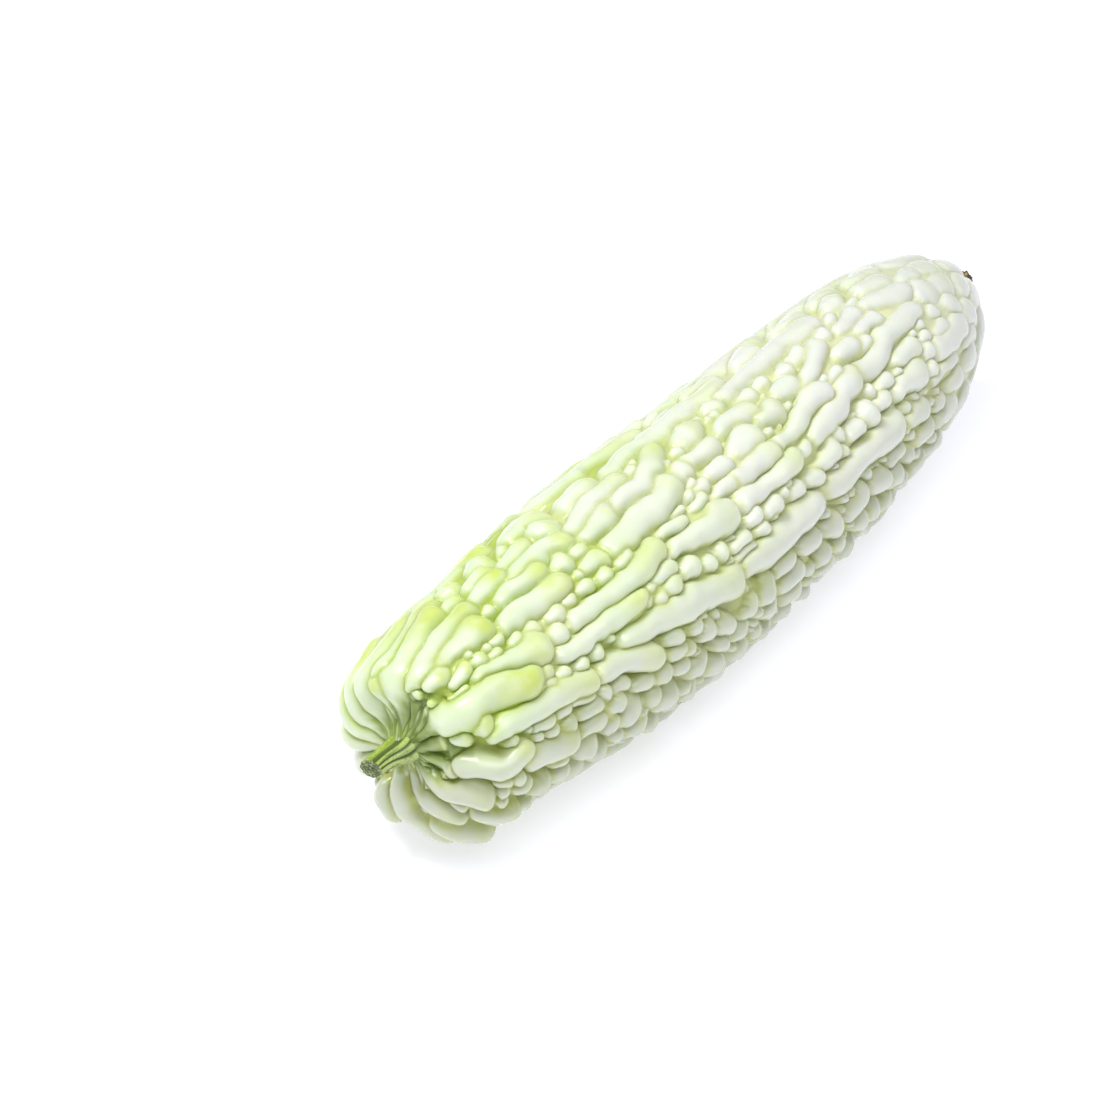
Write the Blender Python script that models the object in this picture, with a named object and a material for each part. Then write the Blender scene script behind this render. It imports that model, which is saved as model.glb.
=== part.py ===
"""Bitter gourd, whole and uncut, lying on its side: a Blender 4.5 script.

The fruit lies along X with its stem end at -X and its blossom end at +X, and rests on the
plane z = 0. Three solids: the ridged and warty fruit, its cut stem, and the dried remnant of
the flower at the other end. Sizes are in millimetres up to the meshes, which are in metres.
"""
import math

import bmesh
import bpy
import numpy as np

MM = 0.001

# Driving dimensions of the fruit
FRUIT_LENGTH = 297.5
BOW_SIDE = 4.15          # how far the middle bends towards -Y
BOW_UP = 4.3             # how far both ends lift above the middle
SHOULDER_SIDE = -5.0     # sideways lean of the stem end
SHOULDER_UP = -2.7       # drop of the stem end
SHOULDER_REACH = 14.9    # distance over which that lean fades
ROOT_SIDE = 5.0          # the stem's root sits off the centre of the stem end
ROOT_UP = 5.5
ROOT_FADE_AT = 4.5       # half of that shift is gone here, measured along the skin
ROOT_FADE = 3.5
RELIEF = 5.2             # height of the tallest ridges over the creases
SMOOTH_TIP_FROM = 222.0  # the relief starts to fade here
SMOOTH_TIP_FADE = 25.0
ROOT_PAD = 8.0           # flat round the stem's root
SHOULDER_RAMP = 9.0      # the relief reaches its full depth this far beyond the pad
REST_FLAT = 1.9          # how much of the lowest warts is pressed flat

# Outline over the tops of the ridges: distance from the stem end, radius
OUTLINE = [
    (4.8, 0.0), (4.8, 4.4), (4.78, 8.6), (3.8, 11.6), (2.5, 15.2), (2.7, 19.3), (4.7, 23.6),
    (9.0, 27.8),
    (17.8, 31.0), (41.7, 32.7), (89.0, 37.0), (149.0, 36.4), (208.0, 33.8), (240.0, 31.0),
    (262.0, 26.4), (279.7, 19.4), (291.0, 10.8), (296.3, 4.4), (FRUIT_LENGTH, 0.0)]
SHOULDER_RADIUS = 27.0   # the outline runs one way along x from here on
WHERE_ALONG_IS_X = 20.0  # "along" below is measured on the skin and equals x here

# Long ridges that can be told apart: half width at tail and head, then (along, angle) of the
# crest. Along runs from the stem end in mm, negative on the end face, and the angle is in
# degrees from the top towards -Y.
RIDGES = [
    (2.6, 4.6, [(-11, 42), (-4, 38), (3, 35), (15, 41), (25, 44.5), (30, 44.5)]),
    (2.2, 4.4, [(15, 31), (22, 32), (30, 33.5), (38, 36)]),
    (3.0, 3.8, [(-9, 66), (0, 61), (13, 60), (30, 62.5), (46, 65)]),
    (3.0, 4.6, [(-5, 79), (3, 76), (12, 74.5), (17, 75)]),
    (2.8, 3.0, [(43, 45.2), (50, 46.5), (60, 48), (70, 47.5), (76, 47.3)]),
    (2.8, 4.2, [(54, 37.3), (60, 38), (70, 37), (80, 35.5), (91, 33)]),
    (3.8, 4.2, [(53, 67), (57, 67), (64, 69), (71, 73.5)]),
    (3.2, 4.4, [(65, 59.8), (72, 61.5), (85, 62.5), (95, 66), (105, 67.5), (112, 69)]),
    (3.6, 5.8, [(117, 70), (125, 71), (135, 70), (145, 70), (154, 68.5)]),
    (2.4, 4.8, [(94, 40.3), (100, 41), (108, 39.5), (116, 39.5), (121, 41.3)]),
    (3.4, 3.6, [(130, 41.8), (140, 42.5), (156, 42.2)]),
    (3.2, 3.2, [(134, 32), (150, 31.5)]),
    (2.2, 4.2, [(155, 31), (162, 30), (170, 28.5), (180, 27), (185, 26.6)]),
    (2.6, 4.2, [(171, 41), (178, 40), (186, 38), (193, 34.5), (200, 33)]),
    (4.2, 3.4, [(200, 33), (210, 33), (217, 30.5), (225, 26), (235, 25.5), (243, 26)]),
    (4.6, 5.2, [(165, 66.5), (172, 68), (185, 67.5), (198, 67.5), (205, 68)]),
    (4.4, 4.4, [(82, 19), (90, 19), (98, 18), (106, 15.5), (112, 12)]),
    (3.0, 3.4, [(79, 6.5), (86, 4.5), (91, 5)]),
    (2.8, 3.2, [(93, 7), (100, 4), (108, 3), (115, 0), (125, -7)]),
    (3.4, 3.6, [(76, 0), (88, -5), (103, -8)]),
    (3.6, 4.2, [(-8, 16), (3, 9), (8, 10), (20, 10.5), (31, 7.5)]),
    (3.8, 4.2, [(36, 15.3), (45, 17), (57, 16.8)]),
    (2.8, 3.2, [(44, 5.5), (50, 3), (57, 4)]),
    (3.4, 4.0, [(54, -3.5), (65, -2), (73, 0)]),
    (3.2, 3.4, [(-9, -6), (3, 0), (10, -4), (21, -8)]),
    (2.4, 2.8, [(35, -2), (42, -6), (50, -11)]),
    (2.8, 3.4, [(183, 16.5), (193, 10), (201, 5)]),
    (3.6, 4.0, [(232, 6), (238, 7.5), (247, 11)]),
    (3.6, 4.0, [(240, 55), (248, 56), (258, 57)]),
    (4.0, 5.0, [(17, 84), (24, 85), (31, 86)]),
    (3.4, 4.2, [(160, -9), (175, -12), (196, -13), (212, -12)]),
    (3.4, 4.0, [(108, -16), (125, -19), (148, -18), (166, -21)]),
]

# Single warts that can be told apart: the stretch that each covers, as along from and to and
# angle from and to
WARTS = [
    (3, 12.5, 15, 21), (8, 17, 20, 27), (17, 23, 18, 27), (23, 29, 21, 28), (27, 33, 15, 21),
    (32, 38, 22, 29), (38, 44, 24, 31), (46, 54, 24, 33), (54, 59, 24, 30), (59, 66, 23, 31),
    (66, 74, 24, 32), (62, 66, 17, 23), (67, 76, 8, 15), (64, 77, 15, 24), (42, 50, 32, 41),
    (3, 10, 45, 55), (27, 33, 49, 55), (31, 38, 44, 52), (32, 37, 51, 57), (37, 43, 50, 58),
    (43, 50, 51, 60), (75, 80, 48, 55), (79, 83, 42, 49), (82, 93, 41, 49), (79, 85, 51, 57),
    (83, 91, 49, 57), (91, 100, 47, 57), (100, 108, 50, 59), (106, 114, 47, 57),
    (115, 126, 51, 60), (114, 126, 60, 66), (125, 133, 46, 56), (133, 143, 49, 59),
    (143, 147, 49, 55), (146, 156, 50, 60), (76, 85, 24, 30), (95, 108, 27, 33),
    (103, 110, 22, 27), (111, 116, 18, 25), (110, 119, 25, 31), (121, 133, 29, 35),
    (116, 125, 21, 28), (114, 125, 6, 19), (124, 142, 3, 16), (125, 138, 17, 28),
    (139, 154, 14, 27), (141, 162, 1, 14), (154, 170, 8, 22), (169, 184, 5, 18),
    (169, 178, -4, 5), (180, 188, -3, 7), (200, 214, 11, 24), (190, 199, 20, 28),
    (209, 219, 18, 26), (211, 230, -2, 10), (216, 232, 10, 20), (160, 168, 38, 45),
    (156, 166, 50, 61), (161, 177, 47, 57), (176, 181, 45, 52), (174, 179, 52, 59),
    (180, 191, 47, 57), (189, 200, 43, 57), (200, 209, 47, 57), (205, 215, 42, 51),
    (209, 229, 49, 63), (217, 233, 34, 47), (230, 238, 47, 56), (234, 241, 39, 49),
    (241, 252, 42, 51), (246, 253, 31, 40), (211, 225, 66, 78), (229, 250, 62, 70),
    (22, 31, 67, 75), (31, 38, 69, 76), (37, 48, 69, 76), (31, 39, 76, 88), (38, 50, 77, 86),
    (50, 58, 82, 94), (36, 50, 87, 98), (53, 62, 76, 85), (60, 70, 83, 93), (68, 78, 84, 95),
    (75, 85, 76, 86), (80, 89, 79, 88), (89, 99, 77, 88), (97, 108, 78, 92), (108, 119, 79, 93),
    (116, 129, 80, 94), (129, 141, 79, 88), (131, 146, 88, 100), (142, 155, 78, 90),
    (154, 168, 80, 94), (168, 184, 79, 94), (183, 198, 80, 95), (196, 209, 77, 88),
    (211, 227, 80, 96), (227, 236, 73, 87), (237, 251, 73, 88), (26, 36, 93, 106),
]

# Rule for the ridges that stand beyond those lists, round the back and underneath
BACK_FROM = 108.0        # degrees
BACK_TO = 338.0
BACK_ROWS = 10
BACK_RIDGE_LENGTH = (22.0, 68.0)
BACK_RIDGE_GAP = (9.0, 17.0)
BACK_RIDGE_HALF_WIDTH = (3.4, 4.8)
RIDGES_END = 250.0
SEED = 7

# Rule for the warts that fill what is left, from the largest size down
FILL_HALF_WIDTHS = [4.8, 4.2, 3.6, 3.1, 2.6, 2.2, 1.8]
FILL_TRIES = 2500
FILL_OVERLAP = 0.34      # share of a wart's half width that sinks into its neighbours
FILL_END = 262.0

# Broad low ribs that run together at the blossom tip
TIP_RIBS = 9
TIP_RIBS_FROM = 246.0
TIP_RIBS_TO = 292.0
TIP_RIB_HALF_WIDTH = (9.0, 2.6)
TIP_RELIEF = 0.11        # share of the full relief left there

# Stem and flower remnant
STEM_LENGTH = 15.0
STEM_NECK_RADIUS = 2.9
STEM_CUT_RADIUS = 3.1
STEM_ROOT_RADIUS = 7.0
STEM_RIBS = 5
STEM_RIB_HEIGHT = 0.16   # share of the radius
STEM_CUT_LEAN = 0.30     # the cut slants back by this much of a radius, towards -Y
REMNANT_LENGTH = 2.8
REMNANT_RADIUS = 1.7
JOINT_GAP = 0.3
FLOOR_SNAP = 0.2         # points this near the resting plane lie on it

# Mesh sizes
RINGS = 176
SEGMENTS = 132
FRUIT_TRIANGLES = 11500
STEM_RINGS = 14
STEM_SEGMENTS = 40


def smooth_curve(points, samples):
    """Points along a centripetal Catmull-Rom curve through the given ones."""
    pts = np.array(points, dtype=float)
    pts = np.vstack([2 * pts[0] - pts[1], pts, 2 * pts[-1] - pts[-2]])
    knots = np.concatenate([[0.0], np.cumsum(np.sqrt(np.linalg.norm(np.diff(pts, axis=0), axis=1)))])
    t = np.linspace(knots[1], knots[-2], samples)
    i = np.clip(np.searchsorted(knots, t, side="right") - 1, 1, len(pts) - 3)
    k0, k1, k2, k3 = (knots[i + j][:, None] for j in (-1, 0, 1, 2))
    p0, p1, p2, p3 = (pts[i + j] for j in (-1, 0, 1, 2))
    t = t[:, None]
    a1 = (k1 - t) / (k1 - k0) * p0 + (t - k0) / (k1 - k0) * p1
    a2 = (k2 - t) / (k2 - k1) * p1 + (t - k1) / (k2 - k1) * p2
    a3 = (k3 - t) / (k3 - k2) * p2 + (t - k2) / (k3 - k2) * p3
    b1 = (k2 - t) / (k2 - k0) * a1 + (t - k0) / (k2 - k0) * a2
    b2 = (k3 - t) / (k3 - k1) * a2 + (t - k1) / (k3 - k1) * a3
    return (k2 - t) / (k2 - k1) * b1 + (t - k1) / (k2 - k1) * b2


def outline_table():
    """The outline as along, x, radius and its outward normal, closely spaced."""
    line = smooth_curve(OUTLINE, 4000)
    step = np.gradient(line, axis=0)
    step /= np.linalg.norm(step, axis=1)[:, None]
    run = np.concatenate([[0.0], np.cumsum(np.linalg.norm(np.diff(line, axis=0), axis=1))])
    body = line[:, 1] > SHOULDER_RADIUS
    start = np.interp(WHERE_ALONG_IS_X, line[body, 0], run[body]) - WHERE_ALONG_IS_X
    return run - start, line[:, 0], np.maximum(line[:, 1], 0.0), -step[:, 1], step[:, 0]


ALONG, LINE_X, LINE_R, NORMAL_X, NORMAL_R = outline_table()


def middle_line(along, x):
    """Where the middle of the fruit runs, sideways and up."""
    bend = (2 * x / FRUIT_LENGTH - 1) ** 2
    near = np.exp(-4 * np.log1p(np.exp(along / 4)) / SHOULDER_REACH)
    root = 1 / (1 + np.exp((along - ROOT_FADE_AT) / ROOT_FADE))
    side = -BOW_SIDE * (1 - bend) + SHOULDER_SIDE * near + ROOT_SIDE * root
    up = BOW_UP * bend + SHOULDER_UP * near + ROOT_UP * root
    return side, up


def on_outline(along, degrees):
    """Points and normals on the skin's outer envelope."""
    along, degrees = np.broadcast_arrays(np.asarray(along, float), np.asarray(degrees, float))
    x = np.interp(along, ALONG, LINE_X)
    r = np.interp(along, ALONG, LINE_R)
    nx = np.interp(along, ALONG, NORMAL_X)
    nr = np.interp(along, ALONG, NORMAL_R)
    length = np.hypot(nx, nr)
    angle = np.radians(degrees)
    side, up = middle_line(along, x)
    points = np.stack([x, side - r * np.sin(angle), up + r * np.cos(angle)], -1)
    normals = np.stack([nx, -nr * np.sin(angle), nr * np.cos(angle)], -1) / length[..., None]
    return points, normals


def relief_depth(along):
    """Depth of the creases under the envelope: none at the stem's root, little at the tip."""
    shoulder = np.clip((along - ALONG[0] - ROOT_PAD) / SHOULDER_RAMP, 0, 1) ** 0.8
    tip = 1 / (1 + np.exp((along - SMOOTH_TIP_FROM - SMOOTH_TIP_FADE) / (SMOOTH_TIP_FADE * 0.36)))
    return RELIEF * shoulder * (TIP_RELIEF + (1 - TIP_RELIEF) * tip)


class Bumps:
    """Ridges and warts as tapered capsules laid along the envelope: a row holds the two ends,
    the half width at each, and the height of the crest."""

    def __init__(self):
        self.rows = np.zeros((0, 9))

    def add(self, start, end, w0, w1, top):
        self.rows = np.vstack([self.rows, [*start, *end, w0, w1, top]])

    def add_ridge(self, tail, head, crest, top=1.0):
        points = on_outline([c[0] for c in crest], [c[1] for c in crest])[0]
        widths = np.linspace(tail, head, len(crest))
        for i in range(len(crest) - 1):
            self.add(points[i], points[i + 1], widths[i], widths[i + 1], top)

    def add_wart(self, along0, along1, degrees0, degrees1):
        along, degrees = (along0 + along1) / 2, (degrees0 + degrees1) / 2
        radius = np.interp(along, ALONG, LINE_R)
        length = along1 - along0
        width = math.radians(degrees1 - degrees0) * radius
        half = min(length, width) / 2
        slack_along = max(length / 2 - half, 0.01)
        slack_round = math.degrees(max(width / 2 - half, 0) / radius)
        ends = on_outline([along - slack_along, along + slack_along],
                          [degrees - slack_round, degrees + slack_round])[0]
        self.add(ends[0], ends[1], half * 1.12, half * 1.12, wart_top(half))

    def clearance(self, point):
        """Distance from a point to the nearest capsule's side."""
        start, end, w0, w1 = self.rows[:, :3], self.rows[:, 3:6], self.rows[:, 6], self.rows[:, 7]
        way = end - start
        share = ((point - start) * way).sum(-1) / np.maximum((way * way).sum(-1), 1e-9)
        share = np.clip(share, 0, 1)
        gap = np.linalg.norm(point - start - share[:, None] * way, axis=-1)
        return (gap - (w0 + share * (w1 - w0))).min()

    def height(self, points):
        """Height at the points as a share of the relief: the highest of the capsules, each
        round in section."""
        best = np.zeros(len(points))
        for row in self.rows:
            start, way, w0, w1, top = row[:3], row[3:6] - row[:3], row[6], row[7], row[8]
            share = np.clip(((points - start) @ way) / max(way @ way, 1e-9), 0, 1)
            gap = np.linalg.norm(points - start - share[:, None] * way, axis=-1)
            ratio = gap / (w0 + share * (w1 - w0))
            np.maximum(best, top * np.sqrt(np.clip(1 - ratio * ratio, 0, 1)), out=best)
        return best


def wart_top(half_width):
    """Small warts stay below the ridges."""
    return min(1.0, 0.42 + 0.125 * half_width)


def grow_bumps():
    """All ridges and warts: those placed by hand, then the seeded rows and fillers."""
    bumps = Bumps()
    for tail, head, crest in RIDGES:
        bumps.add_ridge(tail, head, crest)
    for wart in WARTS:
        bumps.add_wart(*wart)
    draw = np.random.default_rng(SEED)
    for row in range(BACK_ROWS):
        degrees = BACK_FROM + (BACK_TO - BACK_FROM) * (row + 0.5) / BACK_ROWS
        along = -11.0
        while along < RIDGES_END - 20:
            end = min(along + draw.uniform(*BACK_RIDGE_LENGTH), RIDGES_END)
            stops = np.linspace(along, end, max(3, int((end - along) / 10)))
            drift = np.cumsum(draw.normal(0, 2.2, len(stops))) + draw.normal(0, 2.5)
            head = draw.uniform(*BACK_RIDGE_HALF_WIDTH)
            bumps.add_ridge(head * 0.62, head, list(zip(stops, degrees + np.clip(drift, -8, 8))))
            along = end + draw.uniform(*BACK_RIDGE_GAP)
    for rib in range(TIP_RIBS):
        stops = np.linspace(TIP_RIBS_FROM, TIP_RIBS_TO, 5)
        bumps.add_ridge(*TIP_RIB_HALF_WIDTH, [(s, 360 * (rib + 0.4) / TIP_RIBS) for s in stops])
    for half in FILL_HALF_WIDTHS:
        for _ in range(FILL_TRIES):
            along, degrees = draw.uniform(-10, FILL_END), draw.uniform(0, 360)
            stretch = draw.uniform(0.02, 0.9) * half / 2
            ends = on_outline([along - stretch, along + stretch], [degrees, degrees])[0]
            room = min(bumps.clearance(ends[0]), bumps.clearance(ends[1]))
            if room > half * (1 - FILL_OVERLAP):
                size = min(room / (1 - FILL_OVERLAP), half * 1.15)
                bumps.add(ends[0], ends[1], size, size, wart_top(size))
    return bumps


def new_object(name, mesh, colour, roughness, collection):
    """Put a mesh in the scene with a plain material of its own."""
    material = bpy.data.materials.new(name)
    material.use_nodes = True
    shader = material.node_tree.nodes["Principled BSDF"]
    shader.inputs["Base Color"].default_value = (*colour, 1)
    shader.inputs["Roughness"].default_value = roughness
    mesh.materials.append(material)
    mesh.shade_smooth()
    item = bpy.data.objects.new(name, mesh)
    collection.objects.link(item)
    return item


def ball_mesh(name, rings, segments):
    """A UV sphere with its poles on X, and each vertex's ring share and angle."""
    bm = bmesh.new()
    bmesh.ops.create_uvsphere(bm, u_segments=segments, v_segments=rings, radius=1.0)
    mesh = bpy.data.meshes.new(name)
    bm.to_mesh(mesh)
    bm.free()
    flat = np.empty(len(mesh.vertices) * 3)
    mesh.vertices.foreach_get("co", flat)
    co = flat.reshape(-1, 3)
    share = np.arccos(np.clip(-co[:, 2], -1, 1)) / math.pi
    degrees = np.degrees(np.arctan2(-co[:, 0], co[:, 1]))
    return mesh, share, degrees


def set_points(mesh, points):
    mesh.vertices.foreach_set("co", (points * MM).ravel())
    mesh.update()


def make_fruit(collection):
    """The fruit: a sphere's points carried onto the envelope and let down into the creases,
    then thinned to the fewest triangles that keep the ridges."""
    mesh, share, degrees = ball_mesh("gourd_body", RINGS, SEGMENTS)
    along = ALONG[0] + share * (ALONG[-1] - ALONG[0])
    outer, normals = on_outline(along, degrees)
    height = grow_bumps().height(outer)
    points = outer - normals * (relief_depth(along) * (1 - height))[:, None]
    floor = points[:, 2].min() + REST_FLAT
    points[:, 2] = np.maximum(points[:, 2], floor)
    set_points(mesh, points)
    fruit = new_object("gourd_body", mesh, (0.72, 0.80, 0.50), 0.38, collection)
    thin = fruit.modifiers.new("thin", "DECIMATE")
    thin.ratio = FRUIT_TRIANGLES / sum(len(p.vertices) - 2 for p in mesh.polygons)
    fruit.data = bpy.data.meshes.new_from_object(fruit.evaluated_get(
        bpy.context.evaluated_depsgraph_get()))
    fruit.modifiers.clear()
    return fruit, floor


def make_stem(collection):
    """The cut stem: a ribbed stalk that flares into its root, with a slanting cut."""
    root, _ = on_outline(ALONG[0], 0.0)
    share = np.linspace(0, 1, STEM_RINGS)
    back = np.minimum(share * STEM_LENGTH, STEM_LENGTH)
    radius = STEM_NECK_RADIUS + (STEM_ROOT_RADIUS - STEM_NECK_RADIUS) * np.exp(-back / 2.6)
    radius = radius + (STEM_CUT_RADIUS - STEM_NECK_RADIUS) * share ** 4
    angle = np.linspace(0, 2 * math.pi, STEM_SEGMENTS, endpoint=False)
    rib = 1 + STEM_RIB_HEIGHT * np.cos(STEM_RIBS * angle) * (1 - 0.5 * share[:, None])
    ring = radius[:, None] * rib
    x = root[0] - JOINT_GAP - back[:, None] + STEM_CUT_LEAN * share[:, None] * ring * np.sin(angle)
    points = np.stack([np.broadcast_to(x, ring.shape), root[1] - ring * np.sin(angle),
                       root[2] + ring * np.cos(angle)], -1)
    bm = bmesh.new()
    rows = [[bm.verts.new(p * MM) for p in row] for row in points]
    for lower, upper in zip(rows, rows[1:]):
        for i in range(STEM_SEGMENTS):
            j = (i + 1) % STEM_SEGMENTS
            bm.faces.new((lower[i], lower[j], upper[j], upper[i]))
    bm.faces.new(rows[0])
    bm.faces.new(rows[-1])
    bmesh.ops.recalc_face_normals(bm, faces=bm.faces)
    mesh = bpy.data.meshes.new("stem")
    bm.to_mesh(mesh)
    bm.free()
    return new_object("stem", mesh, (0.36, 0.46, 0.16), 0.6, collection)


def make_remnant(collection):
    """The dried flower remnant: a small uneven knob on the tip."""
    mesh, share, degrees = ball_mesh("blossom_remnant", 10, 14)
    tip, _ = on_outline(ALONG[-1], 0.0)
    angle = np.radians(degrees)
    radius = REMNANT_RADIUS * np.sin(share * math.pi) ** 0.7 * (1 + 0.14 * np.sin(3 * angle + share * 4))
    x = tip[0] + JOINT_GAP + REMNANT_LENGTH * (1 - np.cos(share * math.pi)) / 2
    set_points(mesh, np.stack([x, tip[1] - radius * np.sin(angle), tip[2] + radius * np.cos(angle)], -1))
    return new_object("blossom_remnant", mesh, (0.16, 0.11, 0.05), 0.8, collection)


def settle(items, floor):
    """Stand the pieces on z = 0 with the middle of their box over the origin."""
    corners = []
    for item in items:
        flat = np.empty(len(item.data.vertices) * 3)
        item.data.vertices.foreach_get("co", flat)
        corners.append(flat.reshape(-1, 3))
    everything = np.vstack(corners)
    middle = (everything.min(0) + everything.max(0)) / 2
    for item, co in zip(items, corners):
        moved = co - np.array([middle[0], middle[1], floor * MM])
        moved[moved[:, 2] < FLOOR_SNAP * MM, 2] = 0.0
        item.data.vertices.foreach_set("co", moved.ravel())
        item.data.update()


def main():
    for item in list(bpy.data.objects):
        bpy.data.objects.remove(item, do_unlink=True)
    collection = bpy.data.collections.new("bitter_gourd")
    bpy.context.scene.collection.children.link(collection)
    fruit, floor = make_fruit(collection)
    stem = make_stem(collection)
    remnant = make_remnant(collection)
    settle([fruit, stem, remnant], floor)


main()
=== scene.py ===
import math

import bpy
import numpy as np
from mathutils import Matrix, Vector


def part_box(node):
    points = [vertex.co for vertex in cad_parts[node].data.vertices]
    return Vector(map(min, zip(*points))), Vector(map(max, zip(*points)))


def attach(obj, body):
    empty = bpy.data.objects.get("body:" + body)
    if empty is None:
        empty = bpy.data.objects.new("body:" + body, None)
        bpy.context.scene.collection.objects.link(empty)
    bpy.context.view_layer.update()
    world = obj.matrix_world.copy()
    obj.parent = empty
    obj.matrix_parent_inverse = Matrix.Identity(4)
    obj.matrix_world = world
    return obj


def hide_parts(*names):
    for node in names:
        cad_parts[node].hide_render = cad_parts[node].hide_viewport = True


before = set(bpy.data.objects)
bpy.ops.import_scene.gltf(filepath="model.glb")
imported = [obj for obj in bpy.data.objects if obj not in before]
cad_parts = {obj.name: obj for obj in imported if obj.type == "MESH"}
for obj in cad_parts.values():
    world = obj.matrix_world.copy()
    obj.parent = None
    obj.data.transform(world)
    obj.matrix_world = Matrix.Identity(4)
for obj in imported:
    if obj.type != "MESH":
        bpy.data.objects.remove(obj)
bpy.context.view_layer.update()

mm = 0.001

# The whole fruit. Lengths in mm; along is measured on the skin from the stem end and is
# negative on the end face; angles are degrees from the top towards -Y.
fruit = {
    "length": 297.5,
    "outline": [(-1.5, 0.0), (-1.5, 2.3), (0.2, 3.3), (2.0, 4.9), (3.4, 7.2), (3.9, 9.8),
                (3.5, 12.4), (2.6, 15.6), (2.75, 19.3), (4.7, 23.6), (9.0, 27.8), (17.8, 31.0),
                (41.7, 32.7), (89.0, 37.0), (149.0, 36.4), (208.0, 33.8), (240.0, 31.0),
                (262.0, 26.4), (279.7, 19.4), (291.0, 10.8), (296.3, 4.4), (297.5, 0.0)],
    "shoulderRadius": 27.0,
    "alongIsX": 20.0,
    "bowSide": 4.15, "bowUp": 4.3,
    "shoulderSide": -5.0, "shoulderUp": -2.7, "shoulderReach": 14.9,
    "rootSide": 5.0, "rootUp": 5.5, "rootFadeAt": 4.5, "rootFade": 3.5,
    "tipSide": -2.2, "tipUp": 1.6, "tipReach": 6.0,
    "relief": 5.0, "rootPad": 1.4, "shoulderRamp": 8.5,
    "smoothTipFrom": 212.0, "smoothTipFade": 26.0, "tipRelief": 0.27, "tipEnd": 14.0,
    "smoothSide": -46.0, "smoothSideWidth": 40.0, "smoothSideRelief": 0.64,
    "lowSide": 118.0,      # turned to the ground at the front
    # the dark funnel round the stem is partly the stem end's own deeper green, partly painted shade in the
    # sunken funnel
    "funnelSide": 60.0,    # where the dark funnel round the stem spreads
    "restFlat": 1.9,       # how much of the lowest warts is pressed flat
    "ringStep": (0.64, 1.09), "ringStepFrom": 25.0, "ringStepTo": 85.0,
    "segments": 278, "finestAt": 45.0, "finer": 20.0,
    "puff": 0.3,           # how far the flanks of a wart bulge over its crease
    "puffSlope": 1.3,
}

# Long ridges: half width at tail and head, then (along, angle) of the crest
ridges = [
    (2.2, 4.4, [(15, 31), (22, 32), (30, 33.5), (38, 36)]),
    (2.8, 3.0, [(43, 45.2), (50, 46.5), (60, 48), (70, 47.5), (76, 47.3)]),
    (2.8, 4.2, [(54, 37.3), (60, 38), (70, 37), (80, 35.5), (91, 33)]),
    (3.8, 4.2, [(53, 67), (57, 67), (64, 69), (71, 73.5)]),
    (3.2, 4.4, [(65, 59.8), (72, 61.5), (85, 62.5), (95, 66), (105, 67.5), (112, 69)]),
    (3.6, 5.8, [(117, 70), (125, 71), (135, 70), (145, 70), (154, 68.5)]),
    (2.4, 4.8, [(94, 40.3), (100, 41), (108, 39.5), (116, 39.5), (121, 41.3)]),
    (3.4, 3.6, [(130, 41.8), (140, 42.5), (156, 42.2)]),
    (3.2, 3.2, [(134, 32), (150, 31.5)]),
    (2.2, 4.2, [(155, 31), (162, 30), (170, 28.5), (180, 27), (185, 26.6)]),
    (2.6, 4.2, [(171, 41), (178, 40), (186, 38), (193, 34.5), (200, 33)]),
    (4.2, 3.4, [(200, 33), (210, 33), (217, 30.5), (225, 26), (235, 25.5), (243, 26)]),
    (4.6, 5.2, [(165, 66.5), (172, 68), (185, 67.5), (198, 67.5), (205, 68)]),
    (4.4, 4.4, [(82, 19), (90, 19), (98, 18), (106, 15.5), (112, 12)]),
    (3.0, 3.4, [(79, 6.5), (86, 4.5), (91, 5)]),
    (2.8, 3.2, [(93, 7), (100, 4), (108, 3), (115, 0), (125, -7)]),
    (3.4, 3.6, [(76, 0), (88, -5), (103, -8)]),
    (3.8, 4.2, [(36, 15.3), (45, 17), (57, 16.8)]),
    (2.8, 3.2, [(44, 5.5), (50, 3), (57, 4)]),
    (3.4, 4.0, [(54, -3.5), (65, -2), (73, 0)]),
    (2.4, 2.8, [(35, -2), (42, -6), (50, -11)]),
    (2.8, 3.4, [(183, 16.5), (193, 10), (201, 5)]),
    (3.6, 4.0, [(232, 6), (238, 7.5), (247, 11)]),
    (3.6, 4.0, [(240, 55), (248, 56), (258, 57)]),
    (5.0, 5.4, [(22, 88), (28, 90), (34, 91)]),
    (3.0, 5.0, [(12, 6), (18, 7.5), (24, 7), (30, 5.5)]),
    (3.4, 4.2, [(160, -9), (175, -12), (196, -13), (212, -12)]),
    (3.4, 4.0, [(108, -16), (125, -19), (148, -18), (166, -21)]),
]

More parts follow.
